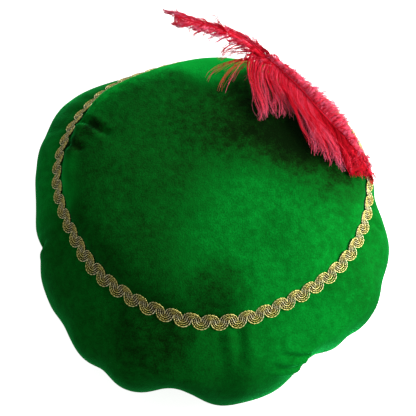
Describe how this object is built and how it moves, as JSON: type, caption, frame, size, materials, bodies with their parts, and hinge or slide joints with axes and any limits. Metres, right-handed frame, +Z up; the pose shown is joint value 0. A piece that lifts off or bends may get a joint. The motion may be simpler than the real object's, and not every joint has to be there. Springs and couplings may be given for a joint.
{
  "type": "feathered beret",
  "caption": "Round velvet costume beret with a puffed, gathered side, a wavy gold braid over its seam and a red ostrich plume fixed at one side.",
  "frame": {"origin": "on the resting surface, under the middle of the hat's plan", "axes": "+Z up from the resting surface, -Y towards the hat's front, +X towards the side where the feather is fixed"},
  "size_m": [0.2962, 0.3056, 0.1418],
  "materials": {
    "velvet": "green pile velvet",
    "gold_braid": "gold metallic gimp",
    "plume": "dyed red ostrich barbs"
  },
  "bodies": {
    "root": {"crown_top": "velvet", "crown_side": "velvet", "hem": "velvet", "braid": "gold_braid", "feather": "plume"}
  },
  "joints": []
}
